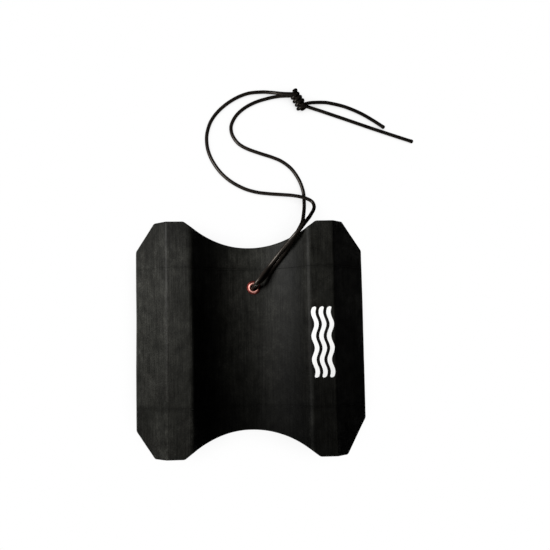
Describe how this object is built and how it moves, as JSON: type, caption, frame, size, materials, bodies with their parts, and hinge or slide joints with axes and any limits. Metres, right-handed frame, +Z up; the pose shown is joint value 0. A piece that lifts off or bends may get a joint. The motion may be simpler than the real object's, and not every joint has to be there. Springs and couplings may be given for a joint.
{
  "type": "pull buoy",
  "caption": "Foam pull buoy with a round leg channel front and back, notched ends, cut corners and a doubled elastic leg cord tied in a barrel knot.",
  "frame": {"origin": "middle of the foam block, on the flat surface that it lies on with the eyelet side up", "axes": "+X across the block to its right-hand lobe, +Y along the leg channels towards the end with the cord, +Z up out of the front face"},
  "size_m": [0.3208, 0.4171, 0.1205],
  "materials": {
    "black_foam": "matte",
    "copper_metal": "satin",
    "liner_plastic": "matte",
    "elastic_cord": "matte",
    "white_print": "satin"
  },
  "bodies": {
    "root": {"foam_top_section": "black_foam", "foam_middle_section": "black_foam", "foam_bottom_section": "black_foam", "front_eyelet": "copper_metal", "back_eyelet": "copper_metal", "bore_liner": "liner_plastic", "leash_outer_strand": "elastic_cord", "leash_inner_strand": "elastic_cord", "leg_loop_knot": "elastic_cord", "leash_short_tail": "elastic_cord", "leash_long_tail": "elastic_cord", "leash_bore_strand_a": "elastic_cord", "leash_bore_strand_b": "elastic_cord", "back_stopper_knot": "elastic_cord", "leash_bight": "elastic_cord", "print_wave_1": "white_print", "print_wave_2": "white_print", "print_wave_3": "white_print"}
  },
  "joints": []
}
